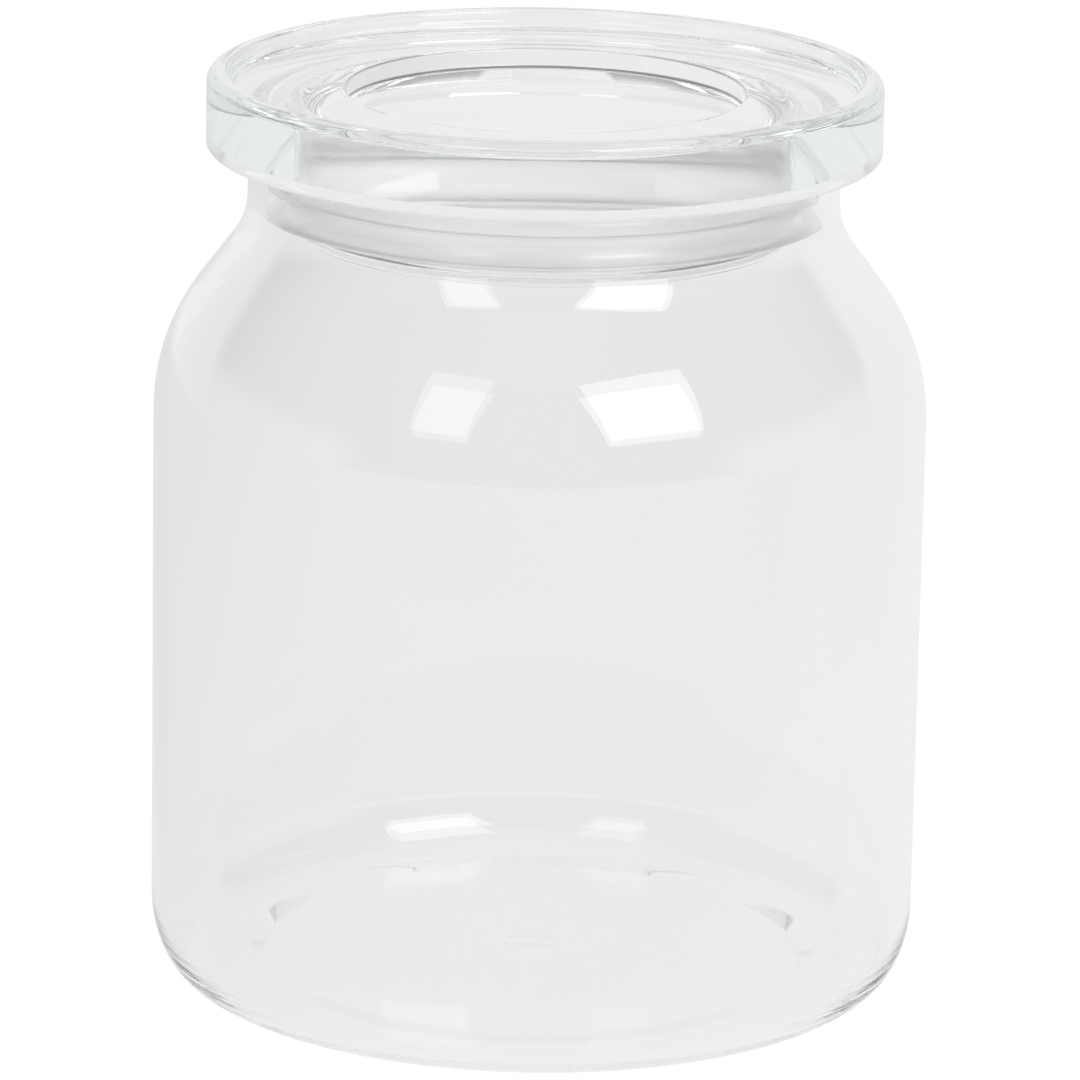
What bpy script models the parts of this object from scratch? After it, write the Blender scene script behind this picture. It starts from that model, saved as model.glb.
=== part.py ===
# Glass storage jar with a glass lid and a clear sealing ring.
# The jar stands on the XY plane with its axis on +Z. Everything is turned about that axis.
import math

import bpy

MM = 0.001
GAP = 0.3 * MM  # play between pieces that touch
STEPS = 52  # facets round a turn
SAG = 0.045 * MM  # how far a facet may cut inside the arc that it follows
MERGE_DISTANCE = 0.01 * MM

# Jar, outside
BODY_RADIUS = 57.5 * MM
WALL_TOP = 86.25 * MM  # where the upright wall turns into the shoulder
SHOULDER_ANGLE = math.radians(36.9)  # steepest lean of the shoulder away from upright
SHOULDER_ARC = 31.7 * MM
NECK_ARC = 12.4 * MM
NECK_RADIUS = 43.75 * MM
HEEL_RUN = 6.6 * MM
HEEL_RISE = 11.4 * MM
LIP_TOP = 126.0 * MM
LIP_FLARE = 0.2 * MM
LIP_HEIGHT = 2.2 * MM  # how far down the mouth the flare reaches
LIP_ROUND = 0.8 * MM

# Jar, glass thickness and base
WALL = 2.0 * MM
NECK_WALL = 2.75 * MM
FLOOR = 2.6 * MM  # thickness where the heel runs into the base
FLOOR_DOME = 0.6 * MM
FOOT_INNER = 40.8 * MM  # inner edge of the flat foot ring
FOOT_BEVEL = 0.2 * MM
RECESS = 0.15 * MM  # underside recess inside the foot ring
RECESS_DOME = 0.3 * MM
PUNT_RADIUS = 6.5 * MM
PUNT_RISE = 0.5 * MM  # small mark at the middle of the base
PUNT_RINGS = 4
DOME_RINGS = 3

# Lid
LID_RADIUS = 49.9 * MM
LID_TOP = 137.6 * MM
FLANGE_BOTTOM = LIP_TOP + GAP
TOP_ROUND = 1.75 * MM
BOTTOM_ROUND = 0.6 * MM
RIM_INNER = 46.6 * MM  # inside of the raised rim
RIM_ROUND = 0.7 * MM
RIM_FILLET = 1.3 * MM
DISH = 135.05 * MM  # level of the lid's top inside the rim
WELL_RADIUS = 30.0 * MM
WELL_FLOOR = 132.0 * MM
WELL_ROUND = 0.5 * MM
WELL_FILLET = 0.8 * MM
PLUG_RADIUS = 36.2 * MM
PLUG_BOTTOM = 112.9 * MM
PLUG_ROUND = 3.5 * MM
CORNER_FILLET = 0.8 * MM  # between the plug and the underside of the flange

# Sealing ring
SEAL_INNER = PLUG_RADIUS + GAP
SEAL_OUTER = 38.2 * MM
SEAL_TOP = FLANGE_BOTTOM - GAP
SEAL_TOP_ROUND = CORNER_FILLET - GAP
SEAL_BOTTOM = 116.4 * MM
SEAL_CHAMFER = 0.3 * MM
FIN_RADIUS = NECK_RADIUS - NECK_WALL - GAP
FIN_TOPS = (122.2 * MM, 117.6 * MM)  # upper edges of the two sealing fins
FIN_EDGE = 0.4 * MM
FIN_SLOPE = 0.15 * MM  # fall of a fin's upper and lower face


def clear_scene():
    for thing in list(bpy.data.objects):
        bpy.data.objects.remove(thing, do_unlink=True)


def facets(radius, turn):
    """How many facets an arc takes so that none cuts inside it by more than SAG."""
    widest = 2 * math.acos(1 - SAG / radius)
    return math.ceil(turn / widest)


def arc(centre, radius, start, end):
    """Points on an arc in the RZ plane, with start and end in degrees."""
    first, sweep = math.radians(start), math.radians(end - start)
    count = facets(radius, abs(sweep))
    points = []
    for i in range(count + 1):
        turn = first + sweep * i / count
        points.append((centre[0] + radius * math.cos(turn), centre[1] + radius * math.sin(turn)))
    return points


def shoulder(thickness_at):
    """Shoulder from the upright wall up to the neck, set in by thickness_at(0..1) along the normal."""
    drop = (SHOULDER_ARC + NECK_ARC) * (1 - math.cos(SHOULDER_ANGLE))
    slant = (BODY_RADIUS - NECK_RADIUS - drop) / math.sin(SHOULDER_ANGLE)
    lower = facets(SHOULDER_ARC, SHOULDER_ANGLE)
    upper = facets(NECK_ARC, SHOULDER_ANGLE)
    stations = []
    for i in range(lower + 1):
        lean = SHOULDER_ANGLE * i / lower
        r = BODY_RADIUS - SHOULDER_ARC * (1 - math.cos(lean))
        z = WALL_TOP + SHOULDER_ARC * math.sin(lean)
        stations.append((r, z, lean))
    r, z, lean = stations[-1]
    r -= slant * math.sin(lean)
    z += slant * math.cos(lean)
    top_z = z + NECK_ARC * math.sin(SHOULDER_ANGLE)
    for i in range(upper + 1):
        lean = SHOULDER_ANGLE * (1 - i / upper)
        r = NECK_RADIUS + NECK_ARC * (1 - math.cos(lean))
        z = top_z - NECK_ARC * math.sin(lean)
        stations.append((r, z, lean))
    low, high = stations[0][1], stations[-1][1]
    points = []
    for r, z, lean in stations:
        thickness = thickness_at((z - low) / (high - low))
        points.append((r - thickness * math.cos(lean), z - thickness * math.sin(lean)))
    return points


def dome(edge_radius, edge_z, rise):
    """A shallow dome with the small mark in its middle, from its edge to the axis."""
    radii = [edge_radius + (PUNT_RADIUS - edge_radius) * i / DOME_RINGS for i in range(DOME_RINGS)]
    radii += [PUNT_RADIUS * (1 - i / PUNT_RINGS) for i in range(PUNT_RINGS + 1)]
    points = []
    for r in radii:
        swell = 0
        if r < PUNT_RADIUS:
            swell = PUNT_RISE / 2 * (1 + math.cos(math.pi * r / PUNT_RADIUS))
        points.append((r, edge_z + rise * (1 - (r / edge_radius) ** 2) + swell))
    return points


def heel(wall, floor):
    """Rounding from the upright wall to the foot, set in by wall at its top and by floor at its end."""
    count = facets(HEEL_RISE, math.pi / 2)
    points = []
    for i in range(count + 1):
        turn = math.pi / 2 * i / count
        across, down = math.cos(turn) / HEEL_RUN, math.sin(turn) / HEEL_RISE
        length = math.hypot(across, down)
        thickness = wall + (floor - wall) * i / count
        r = BODY_RADIUS - HEEL_RUN * (1 - math.cos(turn)) - thickness * across / length
        z = HEEL_RISE * (1 - math.sin(turn)) + thickness * down / length
        points.append((r, z))
    return points


def jar_profile():
    neck_inner = NECK_RADIUS - NECK_WALL
    inner_heel = heel(WALL, FLOOR)[::-1]
    inside = dome(*inner_heel[0], FLOOR_DOME)[::-1] + inner_heel[1:]
    inside += shoulder(lambda share: WALL + (NECK_WALL - WALL) * share)
    inside += arc((neck_inner + LIP_ROUND, LIP_TOP - LIP_ROUND), LIP_ROUND, 180, 90)

    flare = NECK_RADIUS + LIP_FLARE
    outside = arc((flare - LIP_ROUND, LIP_TOP - LIP_ROUND), LIP_ROUND, 90, 0)
    outside += [(NECK_RADIUS, LIP_TOP - LIP_HEIGHT)]
    outside += shoulder(lambda share: 0)[::-1]
    outside += heel(0, 0)

    underside = [(FOOT_INNER, 0)]
    underside += dome(FOOT_INNER - FOOT_BEVEL, RECESS, RECESS_DOME)
    return inside + outside + underside


def lid_profile():
    top = [(0, WELL_FLOOR)]
    well_wall = WELL_RADIUS - WELL_ROUND
    top += arc((well_wall - WELL_FILLET, WELL_FLOOR + WELL_FILLET), WELL_FILLET, -90, 0)
    top += arc((WELL_RADIUS, DISH - WELL_ROUND), WELL_ROUND, 180, 90)
    top += arc((RIM_INNER - RIM_FILLET, DISH + RIM_FILLET), RIM_FILLET, -90, 0)
    top += arc((RIM_INNER + RIM_ROUND, LID_TOP - RIM_ROUND), RIM_ROUND, 180, 90)
    top += arc((LID_RADIUS - TOP_ROUND, LID_TOP - TOP_ROUND), TOP_ROUND, 90, 0)
    side = arc((LID_RADIUS - BOTTOM_ROUND, FLANGE_BOTTOM + BOTTOM_ROUND), BOTTOM_ROUND, 0, -90)
    plug = arc((PLUG_RADIUS + CORNER_FILLET, FLANGE_BOTTOM - CORNER_FILLET), CORNER_FILLET, 90, 180)
    plug += arc((PLUG_RADIUS - PLUG_ROUND, PLUG_BOTTOM + PLUG_ROUND), PLUG_ROUND, 0, -90)
    return top + side + plug + [(0, PLUG_BOTTOM)]


def seal_profile():
    """Closed outline: up the bore, over the top and down past the two fins."""
    points = [(SEAL_INNER, SEAL_BOTTOM)]
    points += arc((SEAL_INNER + SEAL_TOP_ROUND, SEAL_TOP - SEAL_TOP_ROUND), SEAL_TOP_ROUND, 180, 90)
    points.append((SEAL_OUTER, SEAL_TOP))
    for fin_top in FIN_TOPS:
        points.append((SEAL_OUTER, fin_top - FIN_SLOPE))
        points.append((FIN_RADIUS, fin_top))
        points.append((FIN_RADIUS, fin_top - FIN_EDGE))
        points.append((SEAL_OUTER, fin_top - FIN_EDGE - 2 * FIN_SLOPE))
    points.append((SEAL_OUTER, SEAL_BOTTOM + SEAL_CHAMFER))
    points.append((SEAL_OUTER - SEAL_CHAMFER, SEAL_BOTTOM))
    return points


def material(name, colour, roughness):
    made = bpy.data.materials.new(name)
    made.use_nodes = True
    shader = made.node_tree.nodes["Principled BSDF"]
    shader.inputs["Base Color"].default_value = (*colour, 1)
    shader.inputs["Roughness"].default_value = roughness
    shader.inputs["Metallic"].default_value = 0
    shader.inputs["Transmission Weight"].default_value = 1
    return made


def turned(name, profile, closed, finish, collection):
    """A profile turned about the Z axis by a Screw modifier."""
    mesh = bpy.data.meshes.new(name)
    count = len(profile)
    edges = [(i, i + 1) for i in range(count - 1)]
    if closed:
        edges.append((count - 1, 0))
    mesh.from_pydata([(r, 0, z) for r, z in profile], edges, [])
    mesh.materials.append(finish)
    piece = bpy.data.objects.new(name, mesh)
    collection.objects.link(piece)
    turn = piece.modifiers.new("Turn", "SCREW")
    turn.axis = "Z"
    turn.angle = math.tau
    turn.screw_offset = 0
    turn.steps = STEPS
    turn.render_steps = STEPS
    turn.use_merge_vertices = True
    turn.merge_threshold = MERGE_DISTANCE
    turn.use_smooth_shade = True
    return piece


def build():
    clear_scene()
    collection = bpy.data.collections.new("glass_storage_jar")
    bpy.context.scene.collection.children.link(collection)
    jar_glass = material("jar_glass", (0.93, 0.95, 0.94), 0.02)
    lid_glass = material("lid_glass", (0.91, 0.94, 0.93), 0.02)
    seal_plastic = material("seal_plastic", (0.92, 0.93, 0.92), 0.12)
    turned("jar", jar_profile(), False, jar_glass, collection)
    turned("lid", lid_profile(), False, lid_glass, collection)
    turned("seal_ring", seal_profile(), True, seal_plastic, collection)


build()
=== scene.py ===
import math

import bmesh
import bpy
from mathutils import Matrix, Vector


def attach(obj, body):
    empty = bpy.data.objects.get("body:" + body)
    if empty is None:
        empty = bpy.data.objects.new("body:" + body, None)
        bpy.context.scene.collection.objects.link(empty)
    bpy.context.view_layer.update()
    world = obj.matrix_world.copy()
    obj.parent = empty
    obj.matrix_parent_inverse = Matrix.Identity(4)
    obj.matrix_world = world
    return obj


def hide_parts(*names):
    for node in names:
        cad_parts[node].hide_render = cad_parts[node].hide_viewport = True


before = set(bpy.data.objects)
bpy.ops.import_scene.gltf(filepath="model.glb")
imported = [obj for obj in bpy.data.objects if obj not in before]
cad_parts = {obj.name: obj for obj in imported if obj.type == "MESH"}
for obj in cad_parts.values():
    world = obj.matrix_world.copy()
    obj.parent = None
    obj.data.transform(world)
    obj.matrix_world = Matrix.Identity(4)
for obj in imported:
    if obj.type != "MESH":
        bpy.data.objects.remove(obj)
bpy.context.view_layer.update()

mm = 0.001
turnSteps = 256  # facets round a piece
mergeDistance = 0.002 * mm


# Drawing a profile in the XZ plane and turning it about Z

class Profile:
    # The tip is the point drawn last; lines extrude it and arcs spin it

    def __init__(self, r, z):
        self.mesh = bmesh.new()
        self.first = self.tip = self.mesh.verts.new((r * mm, 0, z * mm))

    def line(self, r, z):
        made = bmesh.ops.extrude_vert_indiv(self.mesh, verts=[self.tip])
        self.tip = made["verts"][0]
        self.tip.co = (r * mm, 0, z * mm)

    def arc(self, r, z, degrees, steps):
        # About the centre r, z; a positive angle turns from +Z towards +X
        made = bmesh.ops.spin(self.mesh, geom=[self.tip], cent=(r * mm, 0, z * mm),
                              axis=(0, 1, 0), angle=math.radians(degrees), steps=steps)
        self.tip = next(part for part in made["geom_last"] if isinstance(part, bmesh.types.BMVert))

    def round(self, r, z, degrees, radius, steps):
        # Line up to where the arc starts, then the arc; degrees are (start, end) from +X to +Z
        start, end = degrees
        turn = math.radians(start)
        self.line(r + radius * math.cos(turn), z + radius * math.sin(turn))
        self.arc(r, z, start - end, steps)

    def close(self):
        self.mesh.edges.new((self.tip, self.first))

    def faceOrder(self, face):
        # Three corners name a face, so that every run lists the faces alike
        first, second, third = sorted(corner.index for corner in face.verts)[:3]
        count = len(self.mesh.verts)
        return (first * count + second) * count + third

    def turned(self, name):
        geometry = self.mesh.verts[:] + self.mesh.edges[:]
        bmesh.ops.spin(self.mesh, geom=geometry, cent=(0, 0, 0), axis=(0, 0, 1),
                       angle=math.tau, steps=turnSteps, use_merge=True)
        bmesh.ops.remove_doubles(self.mesh, verts=self.mesh.verts, dist=mergeDistance)
        bmesh.ops.recalc_face_normals(self.mesh, faces=self.mesh.faces)
        self.mesh.verts.index_update()
        self.mesh.faces.sort(key=self.faceOrder)
        data = bpy.data.meshes.new(name)
        self.mesh.to_mesh(data)
        self.mesh.free()
        data.shade_smooth()
        piece = bpy.data.objects.new(name, data)
        bpy.context.scene.collection.objects.link(piece)
        return piece


# Shader maths: an expression on wires adds its Math nodes

class Wire:

    def __init__(self, tree, socket=None):
        self.tree = tree
        self.socket = socket

    def add(self, kind, settings=None, values=None, output=0):
        node = self.tree.nodes.new("ShaderNode" + kind)
        for name, value in (settings or {}).items():
            setattr(node, name, value)
        for name, value in (values or {}).items():
            if isinstance(value, Wire):
                self.tree.links.new(value.socket, node.inputs[name])
            else:
                node.inputs[name].default_value = value
        return Wire(self.tree, node.outputs[output])

    def maths(self, operation, first, second):
        return self.add("Math", {"operation": operation}, {0: first, 1: second})

    def ramp(self, edges):
        # Smooth from 0 at the first edge to 1 at the second
        low, high = edges
        return self.add("MapRange", {"interpolation_type": "SMOOTHSTEP"},
                        {"Value": self, "From Min": low, "From Max": high})

    def __add__(self, other):
        return self.maths("ADD", self, other)

    __radd__ = __add__

    def __sub__(self, other):
        return self.maths("SUBTRACT", self, other)

    def __rsub__(self, other):
        return self.maths("SUBTRACT", other, self)

    def __mul__(self, other):
        return self.maths("MULTIPLY", self, other)

    __rmul__ = __mul__


def clearMaterial(name, look):
    # Clear glass or plastic: faint waves in the surface, and a tint and a gloss that vary with them
    material = bpy.data.materials.new(name)
    material.use_nodes = True
    tree = material.node_tree
    shader = tree.nodes["Principled BSDF"]
    shader.inputs["Transmission Weight"].default_value = 1
    shader.inputs["IOR"].default_value = look["ior"]
    start = Wire(tree)
    place = start.add("TexCoord", output="Object")
    waves = start.add("TexNoise", {}, {"Vector": place, "Scale": look["waveScale"],
                                       "Detail": look["waveDetail"]})
    tint = start.add("Mix", {"data_type": "RGBA"},
                     {"Factor": waves, "A": (*look["pale"], 1), "B": (*look["deep"], 1)}, 2)
    bump = start.add("Bump", {}, {"Height": waves, "Strength": look["waveStrength"],
                                  "Distance": look["waveHeight"] * mm})
    smear = waves.maths("MAXIMUM", waves - look["smearFrom"], 0.0)
    roughness = look["roughness"] + smear * look["smear"]
    if "gloss" in look:
        shader.inputs["Coat Weight"].default_value = look["gloss"]
    if "absorption" in look:
        dim = start.add("VolumeAbsorption", {},
                        {"Color": (*look["absorption"], 1), "Density": look["density"]})
        tree.links.new(dim.socket, tree.nodes["Material Output"].inputs["Volume"])
    tree.links.new(tint.socket, shader.inputs["Base Color"])
    tree.links.new(roughness.socket, shader.inputs["Roughness"])
    tree.links.new(bump.socket, shader.inputs["Normal"])
    return material


def dress(piece, material, node):
    piece.data.materials.append(material)
    piece.visible_shadow = False  # clear glass lets the studio light through
    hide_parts(node)
    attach(piece, "root")


# Jar: blown glass body with an upright wall, rounded shoulder and short neck. Lengths in mm.

jarShape = {
    "bodyRadius": 57.5,
    "wallTop": 86.25,
    "shoulderAngle": 36.9,  # lean of the shoulder's straight part, degrees
    "shoulderArc": 31.7,
    "neckArc": 12.4,
    "neckRadius": 43.75,
    "lipTop": 126.0,
    "lipFlare": 0.2,
    "lipHeight": 2.2,
    "lipRound": 0.8,
    "wall": 2.0,
    "shoulderWall": 2.35,
    "neckWall": 2.75,
    "heelRun": 6.6,
    "heelRise": 11.4,
    "floor": 2.6,
    "floorDome": 0.6,
    "footInner": 40.8,
    "footBevel": 0.15,
    "recess": 0.05,
    "recessDome": 0.3,
    "markRadius": 6.5,
    "markRise": 0.5,
    "domeSteps": 48,
    "heelSteps": 16,
    "shoulderSteps": 16,
    "neckSteps": 12,
    "lipSteps": 5,
}


def shoulderArcs(shape, wall, midWall, neckWall):
    # Centres and radii of the two arcs, tangent to the upright wall, the straight part and the neck
    lean = math.radians(shape["shoulderAngle"])
    across, rise = math.cos(lean), math.sin(lean)
    body, neck = shape["bodyRadius"], shape["neckRadius"]
    lowZ = shape["wallTop"]
    outerLine = (body - shape["shoulderArc"]) * across + lowZ * rise + shape["shoulderArc"]
    line = outerLine - midWall  # how far the straight part lies from the origin
    lowArc = (line - (body - wall) * across - lowZ * rise) / (1 - across)
    highArc = shape["neckArc"] + neckWall
    highZ = (line - (neck - neckWall) * across + highArc * (1 - across)) / rise
    return (body - wall - lowArc, lowZ, lowArc), (neck - neckWall + highArc, highZ, highArc)


def heel(profile, shape, r, run, rise, upwards):
    # Quarter of an ellipse between the foot and the upright wall
    steps = shape["heelSteps"]
    for i in range(1, steps + 1):
        turn = math.pi / 2 * (i / steps if upwards else 1 - i / steps)
        profile.line(r + run * math.sin(turn), shape["heelRise"] - rise * math.cos(turn))


def dome(profile, shape, edge, z, rise, inwards):
    # Shallow dome across the base, with the small mark at its middle
    shares = [i / shape["domeSteps"] for i in range(shape["domeSteps"] + 1)]
    for share in shares if inwards else shares[::-1]:
        r = edge * (1 - share)
        swell = 0
        if r < shape["markRadius"]:
            swell = shape["markRise"] / 2 * (1 + math.cos(math.pi * r / shape["markRadius"]))
        profile.line(r, z + rise * (1 - (r / edge) ** 2) + swell)


def makeJar(shape):
    angle = shape["shoulderAngle"]
    heelCentre = shape["bodyRadius"] - shape["heelRun"]
    underside = shape["footInner"] - shape["footBevel"]
    inner = shape["neckRadius"] - shape["neckWall"]
    lip = shape["lipRound"]

    profile = Profile(0, shape["floor"] + shape["floorDome"] + shape["markRise"])
    dome(profile, shape, heelCentre, shape["floor"], shape["floorDome"], False)
    heel(profile, shape, heelCentre, shape["heelRun"] - shape["wall"],
         shape["heelRise"] - shape["floor"], True)
    low, high = shoulderArcs(shape, shape["wall"], shape["shoulderWall"], shape["neckWall"])
    profile.round(low[0], low[1], (0, angle), low[2], shape["shoulderSteps"])
    profile.round(high[0], high[1], (180 + angle, 180), high[2], shape["neckSteps"])
    profile.round(inner + lip, shape["lipTop"] - lip, (180, 90), lip, shape["lipSteps"])

    flare = shape["neckRadius"] + shape["lipFlare"]
    profile.round(flare - lip, shape["lipTop"] - lip, (90, 0), lip, shape["lipSteps"])
    profile.line(shape["neckRadius"], shape["lipTop"] - shape["lipHeight"])
    low, high = shoulderArcs(shape, 0, 0, 0)
    profile.round(high[0], high[1], (180, 180 + angle), high[2], shape["neckSteps"])
    profile.round(low[0], low[1], (angle, 0), low[2], shape["shoulderSteps"])
    profile.line(shape["bodyRadius"], shape["heelRise"])
    heel(profile, shape, heelCentre, shape["heelRun"], shape["heelRise"], False)
    profile.line(shape["footInner"], 0)
    dome(profile, shape, underside, shape["recess"], shape["recessDome"], True)
    return profile.turned("jarBody")


jarLook = {
    "ior": 1.5,
    "pale": (0.995, 0.995, 0.992),
    "deep": (0.985, 0.99, 0.982),
    "waveScale": 28.0,
    "waveDetail": 1.0,
    "waveStrength": 0.06,
    "waveHeight": 0.1,
    "roughness": 0.0,
    "smearFrom": 0.62,  # value of the noise above which the glass is slightly smeared
    "smear": 0.06,
}

jarBody = makeJar(jarShape)
dress(jarBody, clearMaterial("jarGlass", jarLook), "jar")
print("jar made")

# Lid: pressed glass, a raised rim, a lower ring and a round well on top, a solid plug below

lidShape = {
    "radius": 49.9,
    "top": 137.6,
    "bottom": 126.3,
    "topRound": 1.75,
    "bottomRound": 0.6,
    "rimInner": 46.6,
    "rimRound": 0.7,
    "rimFillet": 1.3,
    "ring": 135.05,
    "wellRadius": 30.0,
    "wellFloor": 132.0,
    "wellRound": 0.5,
    "wellFillet": 0.8,
    "plugRadius": 36.2,
    "cornerFillet": 0.8,
    "plugBottom": 112.9,
    "plugRound": 3.5,
    "filletSteps": 8,
    "edgeSteps": 6,
    "topSteps": 10,
}


def makeLid(shape):
    profile = Profile(0, shape["wellFloor"])
    filletSteps, edgeSteps = shape["filletSteps"], shape["edgeSteps"]
    fillet, edge = shape["wellFillet"], shape["wellRound"]
    corner = shape["wellRadius"] - edge - fillet
    profile.round(corner, shape["wellFloor"] + fillet, (-90, 0), fillet, filletSteps)
    profile.round(shape["wellRadius"], shape["ring"] - edge, (180, 90), edge, edgeSteps)
    fillet, edge = shape["rimFillet"], shape["rimRound"]
    profile.round(shape["rimInner"] - fillet, shape["ring"] + fillet, (-90, 0), fillet, filletSteps)
    profile.round(shape["rimInner"] + edge, shape["top"] - edge, (180, 90), edge, edgeSteps)
    edge = shape["topRound"]
    profile.round(shape["radius"] - edge, shape["top"] - edge, (90, 0), edge, shape["topSteps"])
    edge = shape["bottomRound"]
    profile.round(shape["radius"] - edge, shape["bottom"] + edge, (0, -90), edge, edgeSteps)
    fillet = shape["cornerFillet"]
    corner = shape["plugRadius"] + fillet
    profile.round(corner, shape["bottom"] - fillet, (90, 180), fillet, filletSteps)
    edge = shape["plugRound"]
    profile.round(shape["plugRadius"] - edge, shape["plugBottom"] + edge, (0, -90), edge, edgeSteps)
    profile.line(0, shape["plugBottom"])
    return profile.turned("lidGlass")


lidLook = {
    "ior": 1.5,
    "pale": (0.995, 0.995, 0.992),
    "deep": (0.985, 0.99, 0.985),
    "absorption": (0.85, 0.95, 0.92),
    "density": 1.5,
    "waveScale": 40.0,
    "waveDetail": 1.0,
    "waveStrength": 0.05,
    "waveHeight": 0.1,
    "roughness": 0.0,
    "smearFrom": 0.62,  # value of the noise above which the glass is slightly smeared
    "smear": 0.06,
}

lidGlass = makeLid(lidShape)
dress(lidGlass, clearMaterial("lidPressedGlass", lidLook), "lid")
print("lid made")

# Sealing ring: slightly milky soft plastic round the plug, with two fins that meet the neck

sealShape = {
    "inner": 36.5,
    "outer": 38.2,
    "top": 126.0,
    "bottom": 116.4,
    "finRadius": 40.7,
    "finTops": (122.2, 117.6),
    "finEdge": 0.4,
    "finSlope": 0.15,
    "edgeRound": 0.25,
    "topRound": 0.5,  # clears the fillet under the lid's flange
    "finLean": 70,  # degrees that a fin's tip turns each way
    "topSteps": 6,
    "edgeSteps": 4,
    "finSteps": 8,
}


def makeSeal(shape):
    inner, outer, edge = shape["inner"], shape["outer"], shape["edgeRound"]
    profile = Profile(inner, shape["bottom"] + edge)
    corner = shape["topRound"]
    profile.round(inner + corner, shape["top"] - corner, (180, 90), corner, shape["topSteps"])
    profile.round(outer - edge, shape["top"] - edge, (90, 0), edge, shape["edgeSteps"])
    tip, lean = shape["finEdge"] / 2, shape["finLean"]
    for finTop in shape["finTops"]:
        profile.line(outer, finTop - shape["finSlope"])
        profile.round(shape["finRadius"] - tip, finTop - tip, (lean, -lean), tip, shape["finSteps"])
        profile.line(outer, finTop - shape["finEdge"] - 2 * shape["finSlope"])
    profile.round(outer - edge, shape["bottom"] + edge, (0, -90), edge, shape["edgeSteps"])
    profile.line(inner + edge, shape["bottom"])
    profile.close()
    return profile.turned("sealRing")


sealLook = {
    "ior": 1.42,
    "pale": (1.0, 1.0, 0.998),
    "deep": (0.985, 0.985, 0.982),
    "waveScale": 90.0,
    "waveDetail": 1.0,
    "waveStrength": 0.05,
    "waveHeight": 0.05,
    "roughness": 0.3,  # slightly milky
    "smearFrom": 0.0,
    "smear": 0.08,
    "gloss": 1.0,
}

sealRing = makeSeal(sealShape)
dress(sealRing, clearMaterial("sealPlastic", sealLook), "seal_ring")
print("sealing ring made")

# Studio: white floor and surroundings, two soft boxes in front of the jar

studio = {
    "whiteSeen": 1.0,  # what the camera sees straight
    "room": 0.87,  # what the glass shows and mirrors
    "front": 0.25,  # the unlit room in front
    "sweepEdge": (0.35, 0.47),  # where the room turns into the lit sweep behind the jar
    "sweepLean": 0.5,  # the sweep is wider near the floor
    "ceilingEdge": (0.82, 0.93),
    "sideEdge": (0.6, 0.85),  # low lit walls to the left and right, as a square of the direction
    "sideTop": (0.3, 0.12),
    "sideLit": 0.82,  # their share of the room's light
    "deepEdge": (9.5, 10.5),  # light that turned more often in the glass comes from the lit side
    "floorSize": 3.0,
    "floorDrop": 0.3,  # mm below the jar
    "floorLeft": 0.76,  # painted shade: the floor glows less on the left and in front, where it would be lit less
    "floorFront": 0.72,
    "leftEdge": (0.0, -0.13),
    "frontEdge": (-0.05, -0.11),
    "boxDistance": 1.5,
    "boxAim": (0, 0, 0.09),  # the point that the soft boxes face
    "lightTurns": 128,  # light turns many times inside the thick lid
}


def makeWorld(values):
    world = bpy.data.worlds.new("studio")
    bpy.context.scene.world = world
    world.use_nodes = True
    tree = world.node_tree
    background = tree.nodes["Background"]
    start = Wire(tree)
    direction = start.add("TexCoord", output="Generated")
    back = start.add("SeparateXYZ", {}, {0: direction}, "Y")
    height = start.add("SeparateXYZ", {}, {0: direction}, "Z")
    across = start.add("SeparateXYZ", {}, {0: direction}, "X")
    depth = start.add("LightPath", output="Ray Depth")
    sweep = (back - height * values["sweepLean"]).ramp(values["sweepEdge"])
    ceiling = height.ramp(values["ceilingEdge"])
    deep = depth.ramp(values["deepEdge"])
    lit = (across * across).ramp(values["sideEdge"]) * height.ramp(values["sideTop"]) * values["sideLit"]
    for part in (sweep, ceiling, deep):
        lit = lit.maths("MAXIMUM", lit, part)
    room = values["front"] + lit * (values["room"] - values["front"])
    straight = start.add("LightPath", output="Is Camera Ray")
    strength = room + straight * (values["whiteSeen"] - room)
    background.inputs["Color"].default_value = (1, 1, 1, 1)
    tree.links.new(strength.socket, background.inputs["Strength"])
    world.cycles.sampling_method = "NONE"  # the glass's own rays find the room, and renders are quicker


def makeFloor(values):
    mesh = bmesh.new()
    bmesh.ops.create_grid(mesh, x_segments=1, y_segments=1, size=values["floorSize"] / 2)
    bmesh.ops.translate(mesh, verts=mesh.verts, vec=(0, 0, -values["floorDrop"] * mm))
    data = bpy.data.meshes.new("floor")
    mesh.to_mesh(data)
    mesh.free()
    floor = bpy.data.objects.new("floor", data)
    bpy.context.scene.collection.objects.link(floor)
    material = bpy.data.materials.new("floorWhite")
    material.use_nodes = True
    tree = material.node_tree
    start = Wire(tree)
    straight = start.add("LightPath", output="Is Camera Ray")
    place = start.add("TexCoord", output="Object")
    across = start.add("SeparateXYZ", {}, {0: place}, "X")
    # painted shade: the glow is lowered on the left and in front, for rays other than the camera's
    left = across.ramp(values["leftEdge"])
    front = start.add("SeparateXYZ", {}, {0: place}, "Y").ramp(values["frontEdge"])
    lit = values["room"] + left * (values["floorLeft"] - values["room"])
    lit = lit + front * (values["floorFront"] - lit)
    strength = lit + straight * (values["whiteSeen"] - lit)
    glow = start.add("Emission", {}, {"Strength": strength})
    tree.links.new(glow.socket, tree.nodes["Material Output"].inputs["Surface"])
    data.materials.append(material)


softBoxes = {
    "right": {"azimuth": 36.2, "elevation": 35.8, "width": 0.77, "height": 0.815, "power": 5.9},
    "left": {"azimuth": -30.9, "elevation": 35.8, "width": 0.45, "height": 0.815, "power": 1.95},
}


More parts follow.
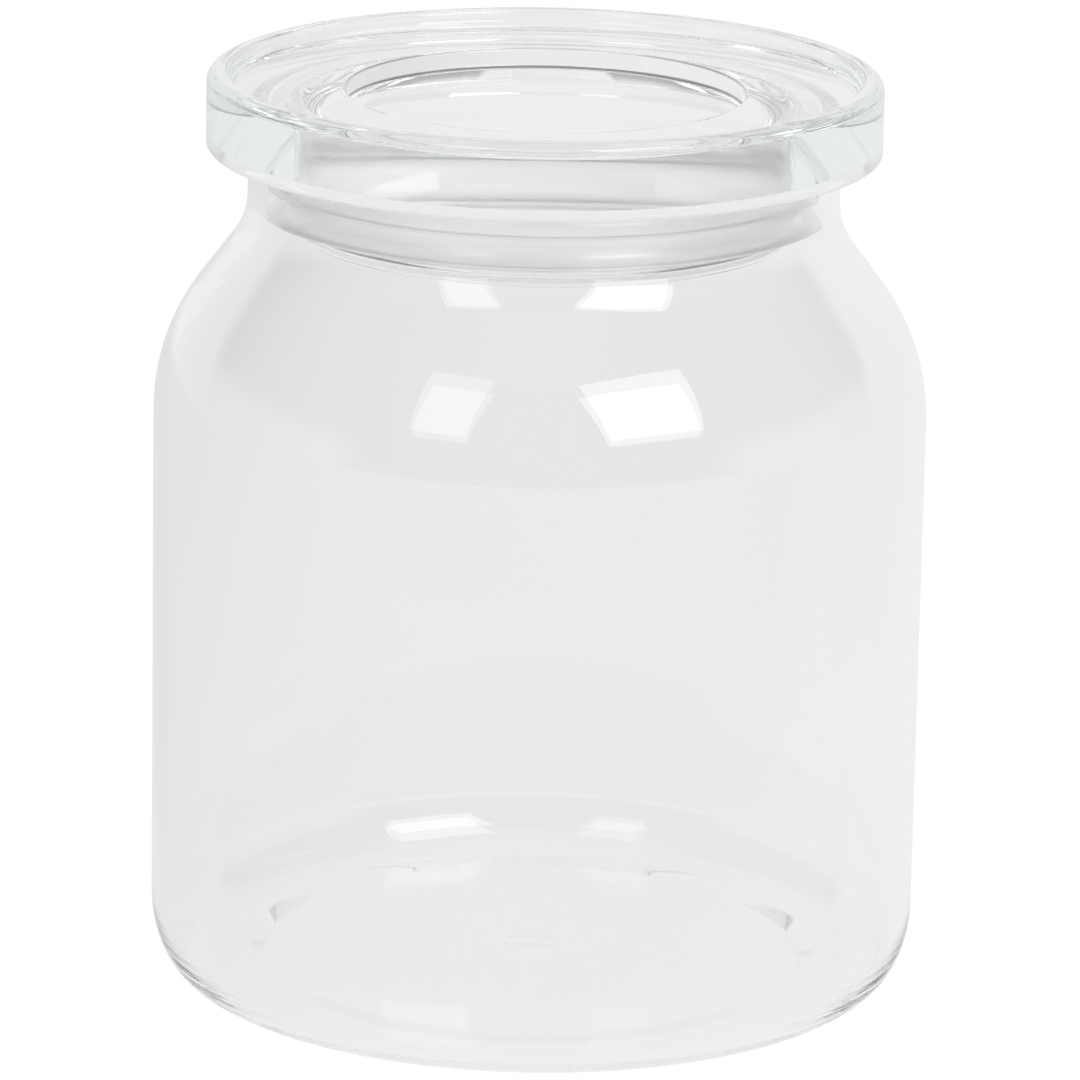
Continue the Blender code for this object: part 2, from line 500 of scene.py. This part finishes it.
def makeSoftBox(name, values):
    turn, lift = math.radians(values["azimuth"]), math.radians(values["elevation"])
    away = Vector((math.sin(turn) * math.cos(lift), -math.cos(turn) * math.cos(lift), math.sin(lift)))
    light = bpy.data.lights.new(name, "AREA")
    light.shape = "RECTANGLE"
    light.size = values["width"]
    light.size_y = values["height"]
    light.energy = values["power"]
    light.use_nodes = True
    tree = light.node_tree
    start = Wire(tree)
    depth = start.add("LightPath", output="Ray Depth")
    shallow = 1 - depth.ramp(studio["deepEdge"])
    tree.links.new(shallow.socket, tree.nodes["Emission"].inputs["Strength"])
    box = bpy.data.objects.new(name, light)
    box.location = Vector(studio["boxAim"]) + away * studio["boxDistance"]
    box.rotation_euler = away.to_track_quat("Z", "Y").to_euler()
    box.visible_camera = False
    bpy.context.scene.collection.objects.link(box)


makeWorld(studio)
makeFloor(studio)
for side, values in softBoxes.items():
    makeSoftBox(side + "SoftBox", values)
print("studio made")

# Camera at the photograph's angle

view = {
    "elevation": 15.42,
    "roll": 1.044,
    "distance": 1.1,
    "target": (0.000373, 0, 0.06611),
    "lens": 244.88,
    "sensor": 36,
    "clipEnd": 20,
}


def makeCamera(values):
    lift, roll = math.radians(values["elevation"]), math.radians(values["roll"])
    back = Vector((0, -math.cos(lift), math.sin(lift)))
    right = Vector((1, 0, 0))
    up = back.cross(right)
    across = math.cos(roll) * right + math.sin(roll) * up
    leaning = (across, back.cross(across), back)
    data = bpy.data.cameras.new("camera")
    data.sensor_width = values["sensor"]
    data.lens = values["lens"]
    data.clip_end = values["clipEnd"]
    camera = bpy.data.objects.new("camera", data)
    place = Matrix.Translation(Vector(values["target"]) + back * values["distance"])
    camera.matrix_world = place @ Matrix(leaning).transposed().to_4x4()
    bpy.context.scene.collection.objects.link(camera)
    bpy.context.scene.camera = camera


makeCamera(view)
scene = bpy.context.scene
scene.view_settings.view_transform = "Standard"
for kind in ("max_bounces", "glossy_bounces", "transmission_bounces"):
    setattr(scene.cycles, kind, studio["lightTurns"])
print("camera made")
